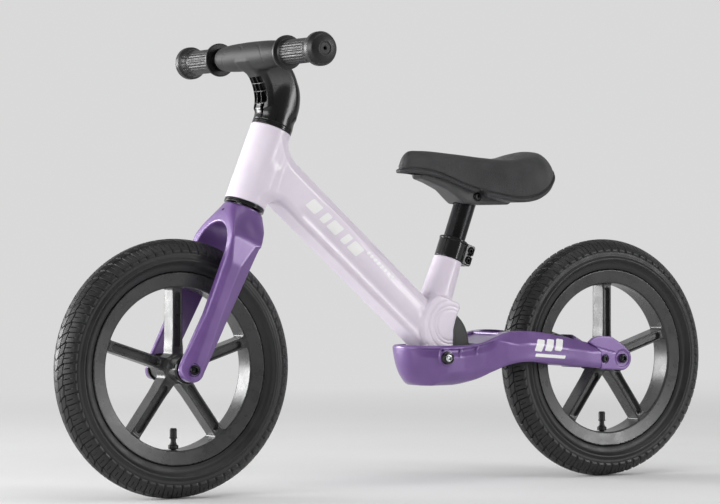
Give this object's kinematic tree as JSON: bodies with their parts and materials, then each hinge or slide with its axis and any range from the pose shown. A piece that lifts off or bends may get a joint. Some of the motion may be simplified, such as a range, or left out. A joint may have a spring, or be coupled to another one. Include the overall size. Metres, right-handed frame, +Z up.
{
  "type": "balance bike",
  "caption": "Child's balance bike without pedals: sloping frame on two spoked wheels, forward fork and stem, height-adjustable saddle and a sprung rear arm.",
  "frame": {"origin": "on the floor under the bike, midway between the two axles, in its middle plane", "axes": "+X to the rear, along the bike; +Y to the rider's right; +Z up"},
  "size_m": [0.9144, 0.33, 0.5345],
  "materials": {
    "pearl": "satin pearl lacquer, very pale lilac",
    "purple": "satin pearl lacquer, mid purple",
    "black_plastic": "satin moulded nylon",
    "gloss_black": "smooth black",
    "rim_grey": "dark grey moulding, semi-gloss",
    "tyre": "moulded tread",
    "black_rubber": "ribbed grip rubber",
    "saddle_skin": "grained synthetic skin on foam",
    "steel": "zinc-plated",
    "bearing_steel": "ground",
    "black_steel": "black lacquer",
    "damper_rubber": "smooth elastomer"
  },
  "bodies": {
    "frame": {"main_frame": "pearl", "head_ring_lower": "gloss_black", "head_bearing_lower": "bearing_steel", "head_bearing_upper": "bearing_steel", "seat_clamp": "gloss_black", "seat_clamp_screw_upper": "black_steel", "seat_clamp_screw_lower": "black_steel", "damper_block": "damper_rubber", "pivot_bush_left": "black_plastic", "pivot_bush_right": "black_plastic"},
    "steering": {"fork": "purple", "steerer": "steel", "steerer_bolt": "steel", "head_ring_upper": "gloss_black", "stem": "black_plastic", "handlebar": "gloss_black", "grip_left": "black_rubber", "grip_right": "black_rubber", "front_axle": "steel", "front_bearing_spacer": "steel", "front_axle_bolt_left": "steel", "front_axle_bolt_right": "steel"},
    "front_wheel": {"front_tyre": "tyre", "front_inner_tube": "black_rubber", "front_rim": "rim_grey", "front_valve_stem": "black_rubber", "front_valve_cap": "black_rubber", "front_bearing_left": "bearing_steel", "front_bearing_right": "bearing_steel", "front_hub_cap_left": "gloss_black", "front_hub_cap_right": "gloss_black"},
    "rear_arm": {"rear_arm": "purple", "rear_end_left": "purple", "rear_end_right": "purple", "rear_end_screw_left": "steel", "rear_end_screw_right": "steel", "pivot_washer": "black_steel", "pivot_bolt": "steel", "pivot_nut": "steel", "rear_axle": "steel", "rear_bearing_spacer": "steel", "rear_axle_bolt_left": "steel", "rear_axle_bolt_right": "steel"},
    "rear_wheel": {"rear_tyre": "tyre", "rear_inner_tube": "black_rubber", "rear_rim": "rim_grey", "rear_valve_stem": "black_rubber", "rear_valve_cap": "black_rubber", "rear_bearing_left": "bearing_steel", "rear_bearing_right": "bearing_steel", "rear_hub_cap_left": "gloss_black", "rear_hub_cap_right": "gloss_black"},
    "seat": {"seat_post": "black_steel", "saddle_base": "black_plastic", "saddle_bolt": "black_steel", "saddle_pad": "saddle_skin"}
  },
  "joints": [
    {"name": "steering", "type": "hinge", "parent": "frame", "child": "steering", "pos_m": [-0.2139, 0, 0.3387], "axis": [0.3754, 0, 0.9269], "range_deg": [-90, 90]},
    {"name": "front_wheel_spin", "type": "hinge", "parent": "steering", "child": "front_wheel", "pos_m": [-0.308, 0, 0.15], "axis": [0, 1, 0], "continuous": true},
    {"name": "rear_suspension", "type": "hinge", "parent": "frame", "child": "rear_arm", "pos_m": [0.044, 0, 0.156], "axis": [0, -1, 0], "range_deg": [0, 3], "stiffness_Nm_per_rad": 500, "springref_deg": -0.69, "deforming": ["damper_block"]},
    {"name": "rear_wheel_spin", "type": "hinge", "parent": "rear_arm", "child": "rear_wheel", "pos_m": [0.308, 0, 0.15], "axis": [0, 1, 0], "continuous": true},
    {"name": "seat_height", "type": "slide", "parent": "frame", "child": "seat", "axis": [0.3453, 0, 0.9385], "range_m": [-0.03, 0.04]}
  ]
}
